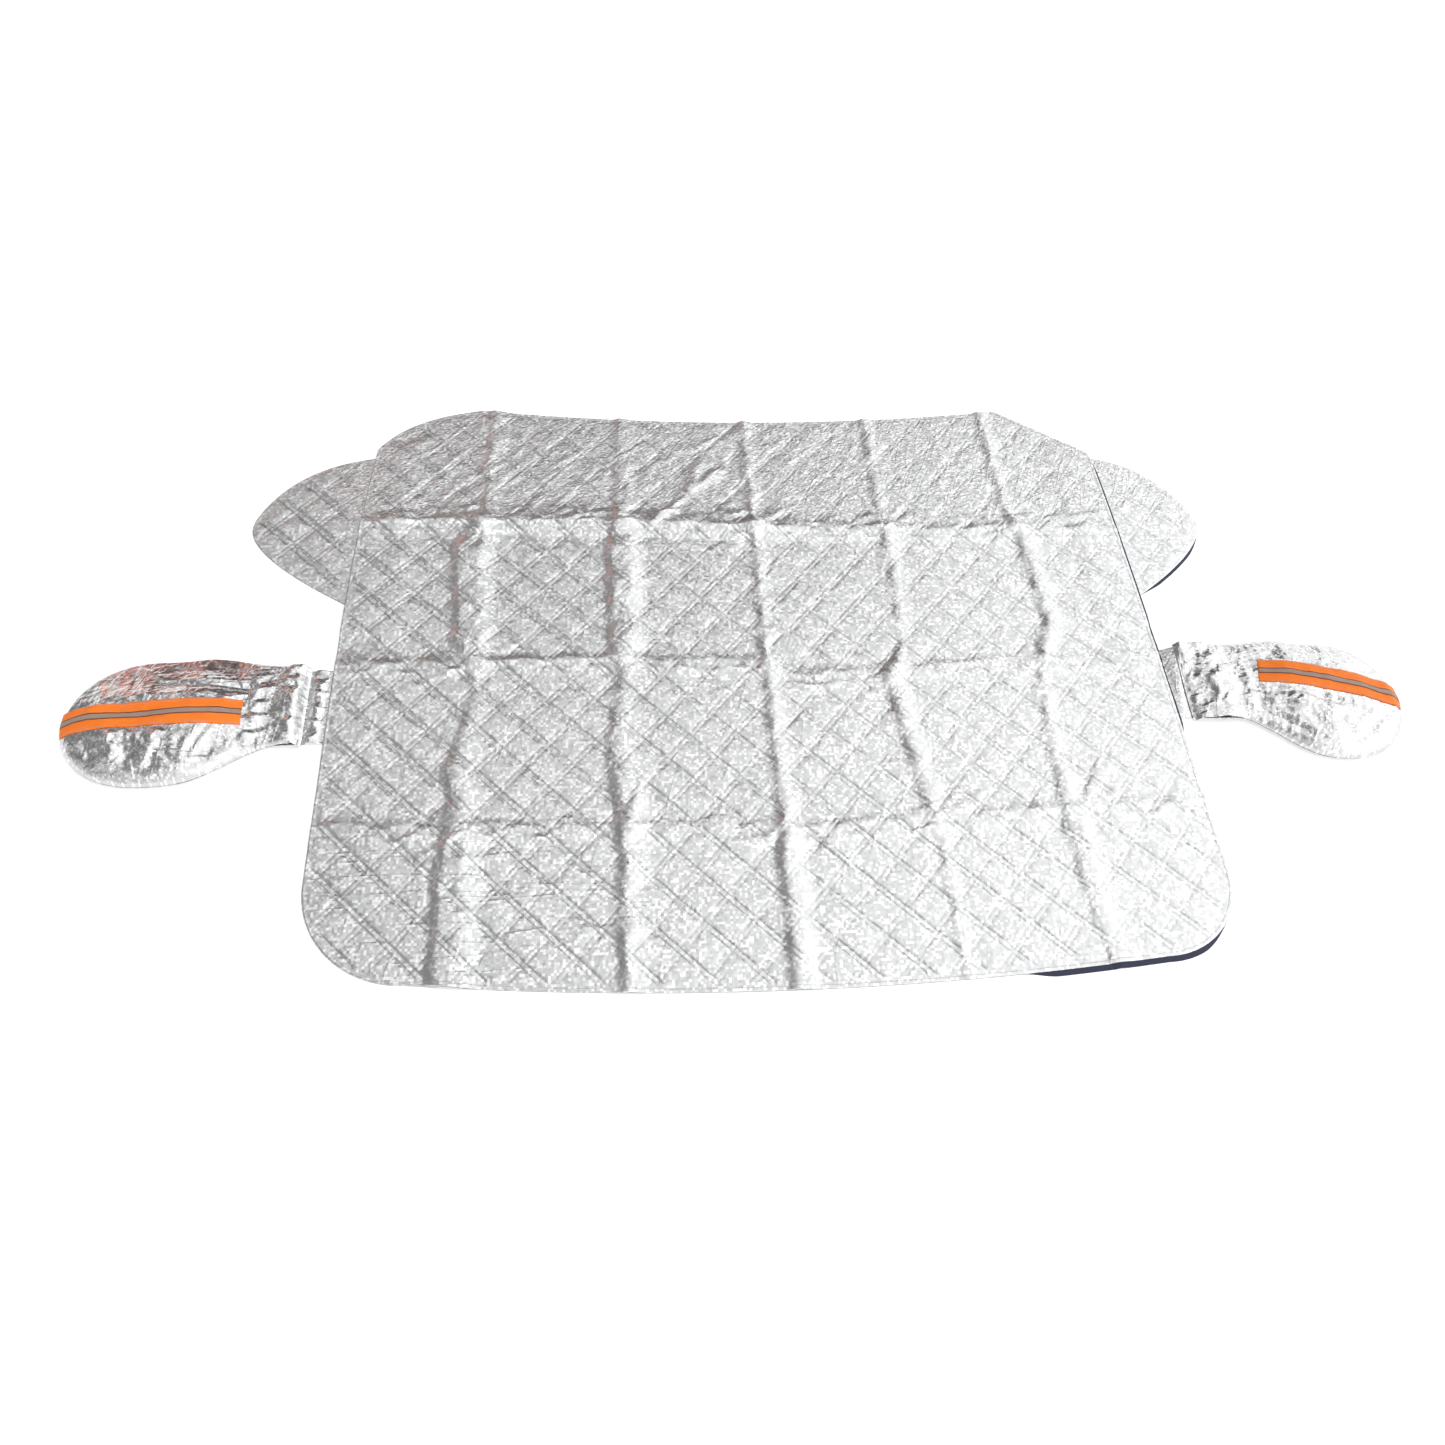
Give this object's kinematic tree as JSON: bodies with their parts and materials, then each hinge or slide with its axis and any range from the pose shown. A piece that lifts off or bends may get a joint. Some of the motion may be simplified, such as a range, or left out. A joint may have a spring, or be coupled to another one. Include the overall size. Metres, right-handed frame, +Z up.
{
  "type": "windshield frost cover",
  "caption": "Quilted foil windshield frost cover with side door flaps and elastic foil mirror pockets, spread out flat.",
  "frame": {"origin": "middle of the box of the spread cover, on the surface that it lies on", "axes": "+X to the cover's right, along its longest side; +Y from the bonnet edge to the roof edge; +Z up, away from the glass"},
  "size_m": [2.267, 1.2212, 0.0481],
  "materials": {
    "quilted_foil": "aluminised film in a fine mosaic, quilted over wadding",
    "pocket_foil": "thin crumpled aluminised film",
    "dark_lining": "matt navy non-woven lining",
    "orange_tape": "fluorescent orange woven tape",
    "reflective_stripe": "grey retroreflective strip",
    "elastic": "pale grey ribbed elastic band"
  },
  "bodies": {
    "root": {"main_panel": "quilted_foil", "main_lining": "dark_lining", "left_door_flap": "quilted_foil", "right_door_flap": "quilted_foil", "left_flap_lining": "dark_lining", "right_flap_lining": "dark_lining", "left_neck_strap": "pocket_foil", "right_neck_strap": "pocket_foil", "left_pocket_top": "pocket_foil", "right_pocket_top": "pocket_foil", "left_pocket_bottom": "pocket_foil", "right_pocket_bottom": "pocket_foil", "left_mouth_elastic": "elastic", "right_mouth_elastic": "elastic", "left_orange_tape": "orange_tape", "right_orange_tape": "orange_tape", "left_reflective_stripe": "reflective_stripe", "right_reflective_stripe": "reflective_stripe"}
  },
  "joints": []
}
